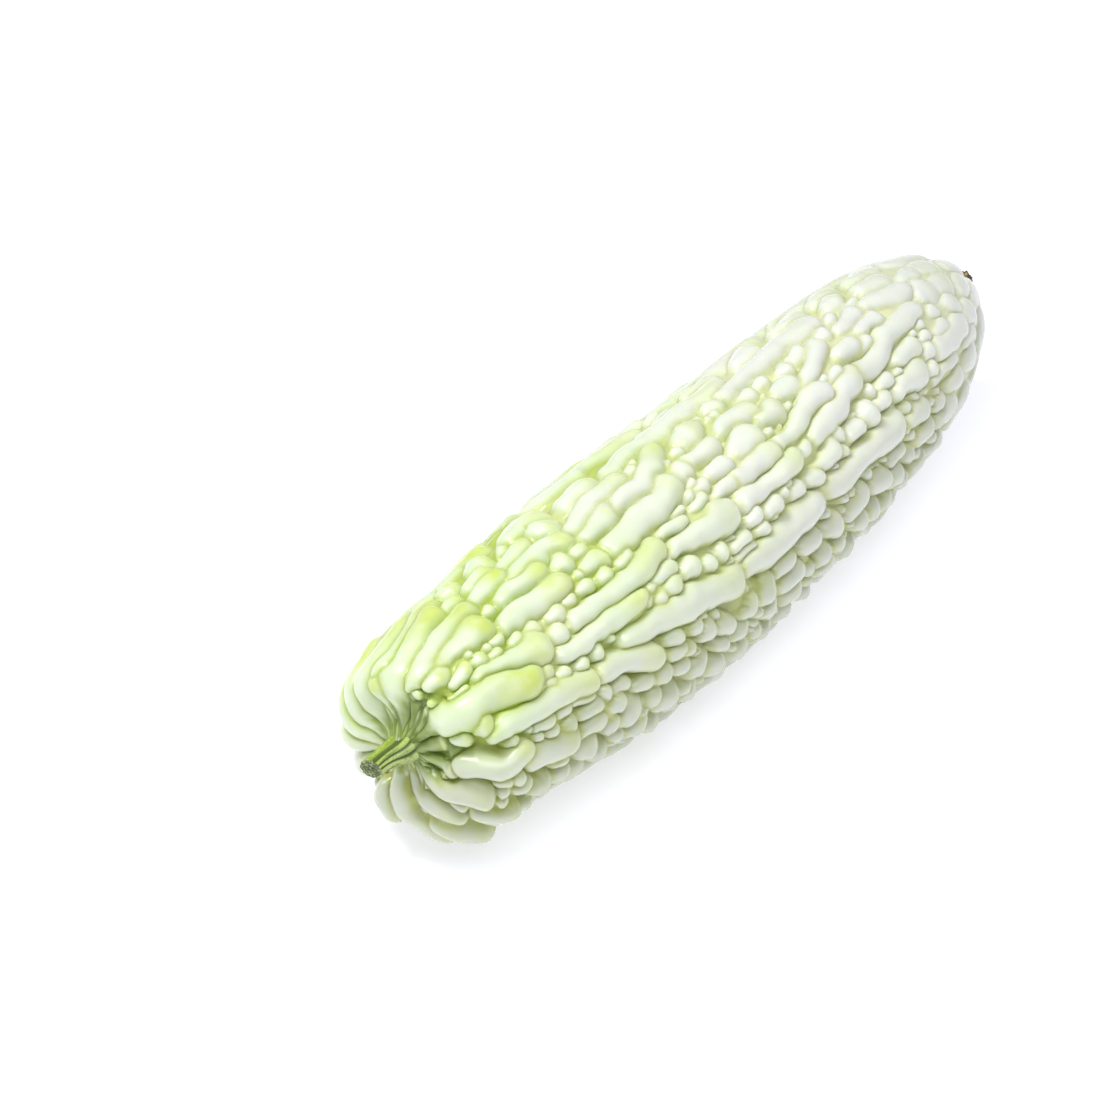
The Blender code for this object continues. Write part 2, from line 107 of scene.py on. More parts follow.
# Lobes at the stem end, where the ridges begin: height, then (along, angle, half width)
lobes = [
    (1.05, [(-14, 45, 1.6), (-9, 43, 3.0), (-4, 43, 5.0), (1, 44.5, 5.5), (6, 42, 5.3),
            (12, 40.5, 4.9), (20, 42, 4.9), (26, 44.5, 4.7), (29.5, 45.5, 4.5)]),
    (1.05, [(-2, 88, 3.4), (3, 85, 4.4), (9, 83, 4.6), (14, 80.5, 4.4), (17.5, 78.5, 3.8)]),
    (1.0, [(9, 60.5, 2.4), (14, 60, 3.0), (20, 61, 3.3), (30, 61.5, 3.5), (38, 63, 3.7),
           (47, 65, 4.0)]),
    (1.1, [(-13, 135, 1.3), (-9, 127, 2.8), (-5, 121, 3.7), (0, 114, 4.2), (5, 108.5, 4.1)]),
    (1.05, [(-12, 168, 1.2), (-8, 160, 2.2), (-4, 152, 2.8), (0, 145, 3.1), (4, 140, 3.1)]),
    (1.1, [(6, 128, 3.0), (11, 124, 3.4), (15, 122, 3.2)]),
    (1.55, [(-12, 190, 1.2), (-6, 184, 2.4), (0, 181, 3.6), (5, 174, 4.4), (9, 168, 4.5)]),
    (1.5, [(4, 158, 3.6), (8, 152, 4.4), (12, 146, 4.2)]),
    (1.7, [(-5, 201, 2.2), (-1, 198, 3.8), (3, 195, 4.2)]),
    (1.0, [(-2, 5, 2.0), (3, 2.5, 3.6), (8, 1, 4.2), (14, 0, 4.2), (21, -3, 3.8), (28, -4, 3.6),
           (35, -4, 3.4)]),
    (1.0, [(-13, -12, 2.2), (-9, -10, 3.6), (-4, -8, 4.2), (2, -10, 4.4), (8, -13, 4.4),
           (14, -16, 4.2), (22, -19, 3.8), (30, -22, 3.4)]),
    (0.95, [(-12, -30, 1.4), (-8, -28, 2.2), (-4, -24, 2.9)]),
    (0.95, [(1, -25, 2.4), (6, -24, 3.0), (14, -24, 3.4), (24, -27, 3.6), (34, -31, 3.4)]),
    (1.0, [(-13, -62, 2.6), (-9, -56, 4.0), (-4, -47, 4.6), (2, -41, 4.4), (9, -35, 4.2),
           (18, -34, 4.0), (28, -38, 3.6)]),
    (1.0, [(-13, -92, 2.4), (-9, -84, 3.6), (-4, -72, 4.2), (2, -62, 4.4), (9, -55, 4.2),
           (18, -52, 4.0)]),
    (1.0, [(-13, -116, 2.2), (-10, -108, 3.4), (-4, -96, 4.4), (2, -87, 4.8), (8, -80, 4.4),
           (15, -76, 4.0)]),
    (1.0, [(-11, -122, 1.8), (-6, -116, 3.6), (0, -110, 4.4), (7, -104, 4.4), (14, -101, 4.0)]),
    (1.0, [(-10, -140, 1.8), (-4, -136, 3.6), (3, -130, 4.4), (10, -126, 4.2)]),
    (0.75, [(-14, 28, 1.2), (-8, 27, 1.2), (-2, 26, 1.4)]),
    (0.8, [(-15, 75, 1.4), (-12, 70, 1.8), (-8, 66, 2.0)]),
    (0.8, [(-13, 98, 1.4), (-8, 95, 1.8), (-5, 97, 1.6)]),
    (0.75, [(-14, 8, 1.1), (-9, 6, 1.2)]),
    (0.75, [(-14, -40, 1.0), (-11, -42, 1.0)]),
]

# Single warts: the stretch each covers, as along from and to, angle from and to
warts = [
    (-5, 3, 56, 67), (0.5, 11, 7, 19), (-6, -1, 6, 16), (6, 13, 92, 99), (8, 13, 106, 115),
    (13, 20, 98, 108), (7, 17.5, 17, 26), (17, 23, 18, 27), (23, 29, 21, 28), (27, 33, 15, 21),
    (32, 38, 22, 29), (38, 44, 24, 31), (46, 54, 24, 33), (54, 59, 24, 30), (59, 66, 23, 31),
    (66, 74, 24, 32), (62, 66, 17, 23), (67, 76, 8, 15), (64, 77, 15, 24), (42, 50, 32, 41),
    (3, 11, 46, 60), (3, 12, 27, 32), (27, 33, 49, 55), (31, 38, 44, 52), (32, 37, 51, 57), (37, 43, 50, 58),
    (43, 50, 51, 60), (75, 80, 48, 55), (79, 83, 42, 49), (82, 93, 41, 49), (79, 85, 51, 57),
    (83, 91, 49, 57), (91, 100, 47, 57), (100, 108, 50, 59), (106, 114, 47, 57),
    (115, 126, 51, 60), (114, 126, 60, 66), (125, 133, 46, 56), (133, 143, 49, 59),
    (143, 147, 49, 55), (146, 156, 50, 60), (76, 85, 24, 30), (95, 108, 27, 33),
    (103, 110, 22, 27), (111, 116, 18, 25), (110, 119, 25, 31), (121, 133, 29, 35),
    (116, 125, 21, 28), (114, 125, 6, 19), (124, 142, 3, 16), (125, 138, 17, 28),
    (139, 154, 14, 27), (141, 162, 1, 14), (154, 170, 8, 22), (169, 184, 5, 18),
    (169, 178, -4, 5), (180, 188, -3, 7), (200, 214, 11, 24), (190, 199, 20, 28),
    (209, 219, 18, 26), (211, 230, -2, 10), (216, 232, 10, 20), (160, 168, 38, 45),
    (156, 166, 50, 61), (161, 177, 47, 57), (176, 181, 45, 52), (174, 179, 52, 59),
    (180, 191, 47, 57), (189, 200, 43, 57), (200, 209, 47, 57), (205, 215, 42, 51),
    (209, 229, 49, 63), (217, 233, 34, 47), (230, 238, 47, 56), (234, 241, 39, 49),
    (241, 252, 42, 51), (246, 253, 31, 40), (211, 225, 66, 78), (229, 250, 62, 70),
    (22, 31, 67, 75), (31, 38, 69, 76), (37, 48, 69, 76), (31, 39, 76, 88), (38, 50, 77, 86),
    (50, 58, 82, 94), (36, 50, 87, 98), (53, 62, 76, 85), (60, 70, 83, 93), (68, 78, 84, 95),
    (75, 85, 76, 86), (80, 89, 79, 88), (89, 99, 77, 88), (97, 108, 78, 92), (108, 119, 79, 93),
    (116, 129, 80, 94), (129, 141, 79, 88), (131, 146, 88, 100), (142, 155, 78, 90),
    (154, 168, 80, 94), (168, 184, 79, 94), (183, 198, 80, 95), (196, 209, 77, 88),
    (211, 227, 80, 96), (227, 236, 73, 87), (237, 251, 73, 88), (26, 36, 93, 106),
]

# Rows of ridges round the back and underneath, and warts that fill the rest
growth = {
    "seed": 7,
    "backFrom": 126.0, "backTo": 330.0, "backRows": 9, "backStart": (11.0, 20.0),
    "backLength": (22.0, 68.0), "backGap": (9.0, 17.0), "backHalfWidth": (3.4, 4.8),
    "ridgesEnd": 250.0,
    "rootRibs": 25, "rootRibEnds": (-20.8, -8.0), "rootRibWidth": 0.62,
    "tailFrom": -7.0, "tailWidth": 0.7,        # lobes that start before this get a fine tail
    "fillHalfWidths": [4.8, 4.2, 3.6, 3.1, 2.6, 2.2, 1.8, 1.45, 1.2],
    "fillTries": 3000, "fillOverlap": 0.34, "fillEnd": 288.0,
    "fillFrom": (-10.0, 8.0),                  # round the back, and near this angle:
    "bareAngle": (85.0, 35.0),                 # its middle and reach
    "fewBelow": 2.6, "fewFrom": 5.0,           # few warts narrower than this beyond here,
    "fewShares": (1.0, 0.9, 0.6),              # on the smooth side, the tip, the low side
    "tipFrom": 215.0, "tipFade": 35.0,
    "longer": (7.0, 3.0),                      # on the smooth side and the tip
    "wartReach": (0.25, 0.9),
    "tail": 0.72,                              # a wart's stem side is this much narrower
    "bend": [(0.18, 9.0), (0.6, 26.0)],        # sideways noise: size and wavelength in mm
    "swell": (0.09, 12.0), "knobs": (0.05, 12.0),
    "creaseDepth": 1.15, "creaseNoise": (0.22, 17.0), "creaseCut": (0.4, 0.7),
    "creaseRound": 0.10, "pull": 1.1, "ownWidth": 1.13,
    "headLift": 0.22, "headPush": 0.34,        # a ridge's head stands higher and wider
    "deeperBelow": 0.25,
}


def smoothCurve(points, samples):
    # centripetal Catmull-Rom curve through the points
    pts = np.array(points, dtype=float)
    pts = np.vstack([2 * pts[0] - pts[1], pts, 2 * pts[-1] - pts[-2]])
    knots = np.concatenate([[0.0], np.cumsum(np.sqrt(np.linalg.norm(np.diff(pts, axis=0), axis=1)))])
    t = np.linspace(knots[1], knots[-2], samples)
    i = np.clip(np.searchsorted(knots, t, side="right") - 1, 1, len(pts) - 3)
    k0, k1, k2, k3 = (knots[i + j][:, None] for j in (-1, 0, 1, 2))
    p0, p1, p2, p3 = (pts[i + j] for j in (-1, 0, 1, 2))
    t = t[:, None]
    a1 = (k1 - t) / (k1 - k0) * p0 + (t - k0) / (k1 - k0) * p1
    a2 = (k2 - t) / (k2 - k1) * p1 + (t - k1) / (k2 - k1) * p2
    a3 = (k3 - t) / (k3 - k2) * p2 + (t - k2) / (k3 - k2) * p3
    b1 = (k2 - t) / (k2 - k0) * a1 + (t - k0) / (k2 - k0) * a2
    b2 = (k3 - t) / (k3 - k1) * a2 + (t - k1) / (k3 - k1) * a3
    return (k2 - t) / (k2 - k1) * b1 + (t - k1) / (k2 - k1) * b2


def outlineTable():
    # along, x, radius and outward normal of the outline, closely spaced
    line = smoothCurve(fruit["outline"], 4000)
    step = np.gradient(line, axis=0)
    step /= np.linalg.norm(step, axis=1)[:, None]
    run = np.concatenate([[0.0], np.cumsum(np.linalg.norm(np.diff(line, axis=0), axis=1))])
    body = line[:, 1] > fruit["shoulderRadius"]
    start = np.interp(fruit["alongIsX"], line[body, 0], run[body]) - fruit["alongIsX"]
    return run - start, line[:, 0], np.maximum(line[:, 1], 0.0), -step[:, 1], step[:, 0]


alongTable, xTable, radiusTable, normalXTable, normalRTable = outlineTable()


def middleLine(along, x):
    # side and height of the fruit's middle: a parabola, a lean that fades from the stem end,
    # a step at the stem's root and a lean of the last few mm of the tip
    bend = (2 * x / fruit["length"] - 1) ** 2
    near = np.exp(-4 * np.log1p(np.exp(along / 4)) / fruit["shoulderReach"])
    root = 1 / (1 + np.exp((along - fruit["rootFadeAt"]) / fruit["rootFade"]))
    tip = np.exp((along - alongTable[-1]) / fruit["tipReach"])
    side = -fruit["bowSide"] * (1 - bend) + fruit["shoulderSide"] * near + fruit["rootSide"] * root
    up = fruit["bowUp"] * bend + fruit["shoulderUp"] * near + fruit["rootUp"] * root
    side, up = side + fruit["tipSide"] * tip, up + fruit["tipUp"] * tip
    return side, up


def onOutline(along, degrees):
    # a circle of the outline's radius round the middle line, and its outward normal
    along, degrees = np.broadcast_arrays(np.asarray(along, float), np.asarray(degrees, float))
    x = np.interp(along, alongTable, xTable)
    r = np.interp(along, alongTable, radiusTable)
    nx = np.interp(along, alongTable, normalXTable)
    nr = np.interp(along, alongTable, normalRTable)
    size = np.hypot(nx, nr)
    angle = np.radians(degrees)
    side, up = middleLine(along, x)
    points = np.stack([x, side - r * np.sin(angle), up + r * np.cos(angle)], -1)
    normals = np.stack([nx, -nr * np.sin(angle), nr * np.cos(angle)], -1) / size[..., None]
    return points, normals


def smoothSide(degrees):
    # 1 on the side where the ridges are long and low, 0 elsewhere
    off = (np.asarray(degrees) - fruit["smoothSide"] + 180) % 360 - 180
    return np.exp(-(off / fruit["smoothSideWidth"]) ** 2)


def lowSide(degrees):
    # 1 on the side that turns to the ground at the front, 0 elsewhere
    facing = np.cos(np.radians(np.asarray(degrees) - fruit["lowSide"]))
    return np.clip((facing - 0.45) / 0.5, 0, 1)


def funnelSide(degrees):
    # 1 on the side where the dark funnel round the stem spreads, 0 elsewhere
    return np.clip(1.5 * np.cos(np.radians(np.asarray(degrees) - fruit["funnelSide"])), 0, 1)


def reliefDepth(along, degrees):
    # depth of the creases: none at the root, full past the shoulder, little at the tip
    shoulder = np.clip((along - alongTable[0] - fruit["rootPad"]) / fruit["shoulderRamp"], 0, 1) ** 0.8
    fade = fruit["smoothTipFade"]
    tip = 1 / (1 + np.exp((along - fruit["smoothTipFrom"] - fade) / (fade * 0.36)))
    tip = fruit["tipRelief"] + (1 - fruit["tipRelief"]) * tip
    tip = tip * np.clip((alongTable[-1] - along) / fruit["tipEnd"], 0, 1) ** 0.5
    side = 1 - (1 - fruit["smoothSideRelief"]) * smoothSide(degrees)
    return fruit["relief"] * shoulder * tip * side


def waves(points, draw, wavelength, count=14):
    # smooth noise: plane waves of about that length in seeded directions, spread of about 1
    way = draw.normal(size=(count, 3))
    way /= np.linalg.norm(way, axis=1)[:, None]
    way *= 2 * math.pi / wavelength * draw.uniform(0.7, 1.4, (count, 1))
    return np.sin(points @ way.T + draw.uniform(0, 2 * math.pi, count)).sum(-1) / math.sqrt(count / 2)


def wartTop(halfWidth):
    # small warts stay below the ridges
    return min(1.0, 0.42 + 0.125 * halfWidth)


def ridgeRows(crest, top, number):
    # one row per stretch: two ends, half width at each, height, how far each end is to the
    # head, and the ridge's number
    points = onOutline([c[0] for c in crest], [c[1] for c in crest])[0]
    reach = np.linspace(0, 1, len(crest))
    return [[*points[i], *points[i + 1], crest[i][2], crest[i + 1][2], top, reach[i],
             reach[i + 1], number] for i in range(len(crest) - 1)]


def widening(tail, head, crest):
    # half widths from the tail to the head of a ridge
    return [(a, d, w) for (a, d), w in zip(crest, np.linspace(tail, head, len(crest)))]


def wartRow(along0, along1, degrees0, degrees1, number):
    along, degrees = (along0 + along1) / 2, (degrees0 + degrees1) / 2
    radius = np.interp(along, alongTable, radiusTable)
    length = along1 - along0
    width = math.radians(degrees1 - degrees0) * radius
    half = min(length, width) / 2
    slackAlong = max(length / 2 - half, 0.01)
    slackRound = math.degrees(max(width / 2 - half, 0) / radius)
    ends = onOutline([along - slackAlong, along + slackAlong],
                     [degrees - slackRound, degrees + slackRound])[0]
    tail = half * growth["tail"] if length > width else half
    return [*ends[0], *ends[1], tail, half, wartTop(half), *growth["wartReach"], number]


def clearance(rows, point):
    # distance from a point to the side of the nearest ridge or wart
    way = rows[:, 3:6] - rows[:, :3]
    share = ((point - rows[:, :3]) * way).sum(-1) / np.maximum((way * way).sum(-1), 1e-9)
    share = np.clip(share, 0, 1)
    gap = np.linalg.norm(point - rows[:, :3] - share[:, None] * way, axis=-1)
    return (gap - (rows[:, 6] + share * (rows[:, 7] - rows[:, 6]))).min()


def growBumps():
    # those listed with fine tails to the stem, thin ribs round the stem that fork, then
    # seeded rows at the back and fillers
    draw = np.random.default_rng(growth["seed"])
    start, end = growth["rootRibEnds"]
    crests = []
    for top, crest in lobes:
        reachesStem = crest[0][0] < growth["tailFrom"]
        tail = [(start, crest[0][1], growth["tailWidth"])] if reachesStem else []
        crests.append((top, tail + crest))
    for rib in range(growth["rootRibs"]):
        degrees = 360 * (rib + draw.uniform(-0.25, 0.25)) / growth["rootRibs"]
        width = growth["rootRibWidth"] * draw.uniform(0.8, 1.3)
        reach = (end if funnelSide(degrees) > 0 else end - 4.5) + draw.uniform(-3, 3)
        away = degrees + draw.uniform(-5, 5)
        crests.append((0.8, [(start, degrees, width * 0.8), (start + 4, degrees, width * 1.1),
                             (reach, away, width)]))
        fork = 180 / growth["rootRibs"]
        crests.append((0.75, [(start + 4.5, degrees + fork * 0.7, width * 0.5),
                              (start + 7, degrees + fork, width * 0.9),
                              (reach + 1.5, away + fork, width)]))
    crests += [(1.0, widening(tail, head, crest)) for tail, head, crest in ridges]
    for row in range(growth["backRows"]):
        share = (row + 0.5) / growth["backRows"]
        degrees = growth["backFrom"] + (growth["backTo"] - growth["backFrom"]) * share
        along = draw.uniform(*growth["backStart"])
        while along < growth["ridgesEnd"] - 20:
            end = min(along + draw.uniform(*growth["backLength"]), growth["ridgesEnd"])
            stops = np.linspace(along, end, max(3, int((end - along) / 10)))
            drift = np.cumsum(draw.normal(0, 2.2, len(stops))) + draw.normal(0, 2.5)
            head = draw.uniform(*growth["backHalfWidth"])
            crest = list(zip(stops, degrees + np.clip(drift, -8, 8)))
            crests.append((1.0, widening(head * 0.62, head, crest)))
            along = end + draw.uniform(*growth["backGap"])
    rows = [r for number, (top, crest) in enumerate(crests) for r in ridgeRows(crest, top, number)]
    rows += [wartRow(*w, len(crests) + i) for i, w in enumerate(warts)]
    rows = np.array(rows)
    bareMiddle, bareReach = growth["bareAngle"]
    for half in growth["fillHalfWidths"]:
        for _ in range(growth["fillTries"]):
            along = draw.uniform(growth["fillFrom"][0], growth["fillEnd"])
            degrees = draw.uniform(0, 360)
            if along < growth["fillFrom"][1] and abs(degrees - bareMiddle) < bareReach:
                continue
            smooth = smoothSide(degrees)
            tip = np.clip((along - growth["tipFrom"]) / growth["tipFade"], 0, 1)
            bare = np.max(np.array([smooth, tip, lowSide(degrees)]) * growth["fewShares"])
            if half < growth["fewBelow"] * bare and along > growth["fewFrom"]:
                continue
            longer = 1 + growth["longer"][0] * smooth + growth["longer"][1] * tip
            stretch = draw.uniform(0.02, 0.9) * half / 2 * longer
            ends = onOutline([along - stretch, along + stretch], [degrees, degrees])[0]
            room = min(clearance(rows, ends[0]), clearance(rows, ends[1]))
            if room > half * (1 - growth["fillOverlap"]):
                size = min(room / (1 - growth["fillOverlap"]), half * 1.15)
                rows = np.vstack([rows, [*ends[0], *ends[1], size * growth["tail"], size, wartTop(size),
                                         *growth["wartReach"], rows[-1, 11] + 1]])
    return rows


def bumpShape(rows, points):
    # Closeness to a ridge or wart is its half width less the distance to its line, a little
    # more near its head, read at points bent by noise. A point belongs to the closest one, and
    # the crease runs where two are equally close. Across each the skin falls as a circle,
    # depth x half width x (1 - sqrt(1 - off^2)), where off is the distance from the line over
    # a slightly greater half width, and by cut x exp(-way in / width) at the crease. Half
    # width, height and reach blend by weights exp(pull x closeness).
    # Gives the height lost at the top in shares of the relief, the drop in mm, the share of
    # the way up from the crease, and the reach.
    draw = np.random.default_rng(growth["seed"] + 1)
    bent = points.copy()
    for size, wavelength in growth["bend"]:
        bent += size * np.stack([waves(points, draw, wavelength) for _ in range(3)], -1)
    swell = 1 + growth["swell"][0] * waves(points, draw, growth["swell"][1])
    knobs = growth["knobs"][0] * waves(points, draw, growth["knobs"][1])
    strength = 1 + growth["creaseNoise"][0] * waves(points, draw, growth["creaseNoise"][1])
    strength = np.maximum(strength, 0.3)
    first = np.full(len(points), -9.0)
    second = np.full(len(points), -9.0)
    owner = np.full(len(points), -1.0)
    weights = np.full(len(points), 1e-9)
    blend = np.zeros((len(points), 3))
    for row in rows:
        start, way = row[:3], row[3:6] - row[:3]
        margin = max(row[6], row[7]) + 6
        low = np.minimum(row[:3], row[3:6]) - margin
        high = np.maximum(row[:3], row[3:6]) + margin
        near = np.flatnonzero(((bent > low) & (bent < high)).all(-1))
        rel = bent[near] - start
        share = np.clip((rel @ way) / max(way @ way, 1e-9), 0, 1)
        gap = np.linalg.norm(rel - share[:, None] * way, axis=-1)
        half = (row[6] + share * (row[7] - row[6])) * swell[near]
        value = half - gap + growth["headPush"] * half * (row[9] + share * (row[10] - row[9]) - 0.5)
        weight = np.exp(growth["pull"] * np.clip(value, -9, 9))
        weights[near] += weight
        blend[near] += weight[:, None] * np.stack([half, np.full(len(near), row[8]),
                                                   row[9] + share * (row[10] - row[9])], -1)
        same = owner[near] == row[11]
        wins = value > first[near]
        second[near] = np.where(wins & ~same, first[near], second[near])
        second[near] = np.where(~wins & ~same, np.maximum(second[near], value), second[near])
        first[near] = np.where(wins, value, first[near])
        owner[near] = np.where(wins, row[11], owner[near])
    half, top, reach = (blend / weights[:, None]).T
    way = np.sqrt(np.maximum((first - second) / 2, 0) ** 2 + growth["creaseRound"] ** 2)
    way = way - growth["creaseRound"]
    wide = np.maximum(half * growth["ownWidth"], 0.7)
    peak = half * (1 + growth["headPush"] * (reach - 0.5))
    off = np.clip((peak - first) / wide, 0, 1)
    deep, narrow = growth["creaseCut"]
    drop = growth["creaseDepth"] * half * (1 - np.sqrt(1 - off ** 2)) + deep * np.exp(-way / narrow)
    inward = np.clip(np.minimum(way, wide - wide * off) / wide, 0, 1)
    raised = top - 1 + knobs + growth["headLift"] * (reach - 0.5)
    return raised, drop * strength, np.sqrt(1 - (1 - inward) ** 2), reach


def tubeMesh(name, points, closeStart, closeEnd):
    # quads over a grid of rings, with a fan to one point at each closed end
    rings, segments = points.shape[:2]
    i, j = np.meshgrid(np.arange(rings - 1), np.arange(segments), indexing="ij")
    k = (j + 1) % segments
    quads = np.stack([i * segments + j, i * segments + k, (i + 1) * segments + k,
                      (i + 1) * segments + j], -1).reshape(-1, 4)
    verts = points.reshape(-1, 3)
    count = len(verts)
    verts = np.vstack([verts, closeStart, closeEnd])
    j = np.arange(segments)
    k = (j + 1) % segments
    last = (rings - 1) * segments
    fans = np.vstack([np.stack([np.full(segments, count), k, j], -1),
                      np.stack([np.full(segments, count + 1), last + j, last + k], -1)])
    mesh = bpy.data.meshes.new(name)
    mesh.vertices.add(len(verts))
    mesh.vertices.foreach_set("co", verts.ravel())
    loops = np.concatenate([quads.ravel(), fans.ravel()])
    starts = np.concatenate([np.arange(len(quads)) * 4, len(quads) * 4 + np.arange(len(fans)) * 3])
    mesh.loops.add(len(loops))
    mesh.loops.foreach_set("vertex_index", loops)
    mesh.polygons.add(len(starts))
    mesh.polygons.foreach_set("loop_start", starts)
    mesh.update(calc_edges=True)
    mesh.validate()
    mesh.shade_smooth()
    piece = bpy.data.objects.new(name, mesh)
    bpy.context.scene.collection.objects.link(piece)
    return piece


def paintAttribute(piece, name, values):
    # one value per vertex for the materials to read
    layer = piece.data.attributes.new(name, "FLOAT", "POINT")
    layer.data.foreach_set("value", np.asarray(values, dtype=np.float32))


def ringBlur(values, times):
    # mean of each grid value with its neighbours, wrapped round the fruit
    for _ in range(times):
        values = (values + np.roll(values, 1, 1) + np.roll(values, -1, 1)) / 3
        padded = np.vstack([values[:1], values, values[-1:]])
        values = (padded[:-2] + padded[1:-1] + padded[2:]) / 3
    return values


def gridStops():
    # rings closer together at the stem end, and lines closer together on the upper front
    stops = [alongTable[0] + 0.35]
    while stops[-1] < alongTable[-1] - 0.5:
        share = (stops[-1] - fruit["ringStepFrom"]) / (fruit["ringStepTo"] - fruit["ringStepFrom"])
        near, far = fruit["ringStep"]
        stops.append(stops[-1] + near + (far - near) * min(max(share, 0), 1))
    even = np.linspace(-180, 180, fruit["segments"], endpoint=False)
    degrees = fruit["finestAt"] + even - fruit["finer"] * np.sin(np.radians(even))
    return np.array(stops)[:, None], degrees[None, :]


def fruitSurface():
    # the outline let down along its normal by the height its bumps lack and by the creases,
    # with the flanks of each bump pushed out down the slope, so that the creases close up
    along, degrees = gridStops()
    outer, normals = onOutline(along, degrees)
    rows = growBumps()
    print("ridges and warts:", len(rows), "rings:", len(along))
    fade = reliefDepth(along, degrees) / fruit["relief"]
    shape = outer.shape[:2]
    raised, drop, dome, reach = (v.reshape(shape) for v in bumpShape(rows, outer.reshape(-1, 3)))
    drop = np.minimum(drop, fruit["relief"]) * (1 + growth["deeperBelow"] * lowSide(degrees))
    height = fade * (fruit["relief"] * raised - drop)
    points = outer + normals * height[..., None]
    stepAlong = np.gradient(outer, axis=0)
    stepRound = (np.roll(outer, -1, 1) - np.roll(outer, 1, 1)) / 2
    lift = ringBlur(height, 1)
    gradAlong = np.gradient(lift, axis=0) / np.maximum((stepAlong ** 2).sum(-1), 1e-4)
    gradRound = (np.roll(lift, -1, 1) - np.roll(lift, 1, 1)) / 2
    gradRound = gradRound / np.maximum((stepRound ** 2).sum(-1), 1e-3)
    slope = stepAlong * gradAlong[..., None] + stepRound * gradRound[..., None]
    steep = np.linalg.norm(slope, axis=-1, keepdims=True)
    slope *= np.minimum(1, fruit["puffSlope"] / np.maximum(steep, 1e-6))
    points = points - fruit["puff"] * slope
    shown = 1 - (1 - dome) * np.clip(fade, 0, 1) ** 0.5
    return points, along + 0 * degrees, shown, reach


def placeFruit(points):
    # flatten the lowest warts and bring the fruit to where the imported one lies
    floor = points[..., 2].min() + fruit["restFlat"]
    low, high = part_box("gourd_body")
    middle = (points.reshape(-1, 3).min(0) + points.reshape(-1, 3).max(0)) / 2
    target = (np.array(low) + np.array(high)) / 2 / mm
    return np.array([target[0] - middle[0], target[1] - middle[1], -floor])


# How far the green spreads from the stem, in mm, and its blotches
skinTone = {
    # smoothSideGreen is partly the fruit's own greener side, partly painted shade that holds back the light
    # on that side
    "greenReach": 190.0, "smoothSideGreen": 0.42, "smoothSideReach": 360.0,
    # paleBelow is painted shade: green taken off the underside
    "blotches": 0.12, "blotchSize": 40.0, "paleBelow": 0.2, "seed": 5,
}

print("growing the fruit")
skinPoints, skinAlong, skinHeight, skinReach = fruitSurface()
shift = placeFruit(skinPoints)
skinPoints = skinPoints + shift
skinPoints[..., 2] = np.maximum(skinPoints[..., 2], 0)
rootPoint = onOutline(alongTable[0], 0.0)[0] + shift
tipPoint = onOutline(alongTable[-1], 0.0)[0] + shift
skin = tubeMesh("fruit_skin", skinPoints * mm, rootPoint * mm, tipPoint * mm)
paintAttribute(skin, "crest", np.append(skinHeight.ravel(), [0.0, 1.0]))
paintAttribute(skin, "reach", np.append(ringBlur(skinReach, 2).ravel(), [0.5, 0.5]))
skinDegrees = gridStops()[1] + 0 * skinAlong
# the dark funnel round the stem, partly its own deeper green and partly painted shade, reaches further along
# the creases than along the crests
deepFunnel = np.clip((14 * funnelSide(skinDegrees) - 8 - skinAlong) / 13, 0, 1)
crestFunnel = np.clip((3 * funnelSide(skinDegrees) - 10 - skinAlong) / 6, 0, 1)
funnel = deepFunnel + (crestFunnel - deepFunnel) * np.clip(skinHeight * 1.25, 0, 1)
paintAttribute(skin, "funnel", np.append(funnel.ravel(), [1.0, 0.0]))
# painted shade: the underside and the low front side are painted less green here and, through the shade
# attribute, a duller grey-green
underside = np.clip(-1.6 * np.cos(np.radians(skinDegrees)) - 0.3, 0, 1)
underside = np.maximum(lowSide(skinDegrees), underside)
green = np.clip(1.0 - skinAlong / skinTone["greenReach"], 0, 1)
# the smooth side, turned to the light, is painted greener: partly its own tone, partly painted shade
green = green + (skinTone["smoothSideGreen"] * smoothSide(skinDegrees)
                 * (1 - skinAlong / skinTone["smoothSideReach"]))
blotches = waves(skinPoints, np.random.default_rng(skinTone["seed"]), skinTone["blotchSize"])
green = green + skinTone["blotches"] * blotches - skinTone["paleBelow"] * underside
paintAttribute(skin, "shade", np.append(underside.ravel(), [0.3, 0.3]))
paintAttribute(skin, "green", np.append(np.clip(green, 0, 1).ravel(), [1.0, 0.0]))


def newMaterial(name):
    material = bpy.data.materials.new(name)
    material.use_nodes = True
    nodes, links = material.node_tree.nodes, material.node_tree.links
    return material, nodes, links, nodes["Principled BSDF"]


def readAttribute(nodes, name):
    node = nodes.new("ShaderNodeAttribute")
    node.attribute_name = name
    return node.outputs["Fac"]


def mapRange(nodes, links, value, low, high):
    # smooth step from 0 at low to 1 at high
    node = nodes.new("ShaderNodeMapRange")
    node.interpolation_type = "SMOOTHSTEP"
    links.new(value, node.inputs["Value"])
    for key, number in (("From Min", low), ("From Max", high)):
        node.inputs[key].default_value = number
    return node.outputs["Result"]


def mixColour(nodes, links, factor, first, second):
    node = nodes.new("ShaderNodeMix")
    node.data_type = "RGBA"
    links.new(factor, node.inputs["Factor"])
    for key, value in (("A", first), ("B", second)):
        socket = [s for s in node.inputs if s.name == key and s.type == "RGBA"][0]
        if isinstance(value, bpy.types.NodeSocket):
            links.new(value, socket)
        else:
            socket.default_value = (*value, 1)
    return [s for s in node.outputs if s.type == "RGBA"][0]


def multiply(nodes, links, first, second):
    node = nodes.new("ShaderNodeMath")
    node.operation = "MULTIPLY"
    for i, value in enumerate((first, second)):
        if isinstance(value, bpy.types.NodeSocket):
            links.new(value, node.inputs[i])
        else:
            node.inputs[i].default_value = value
    return node.outputs[0]


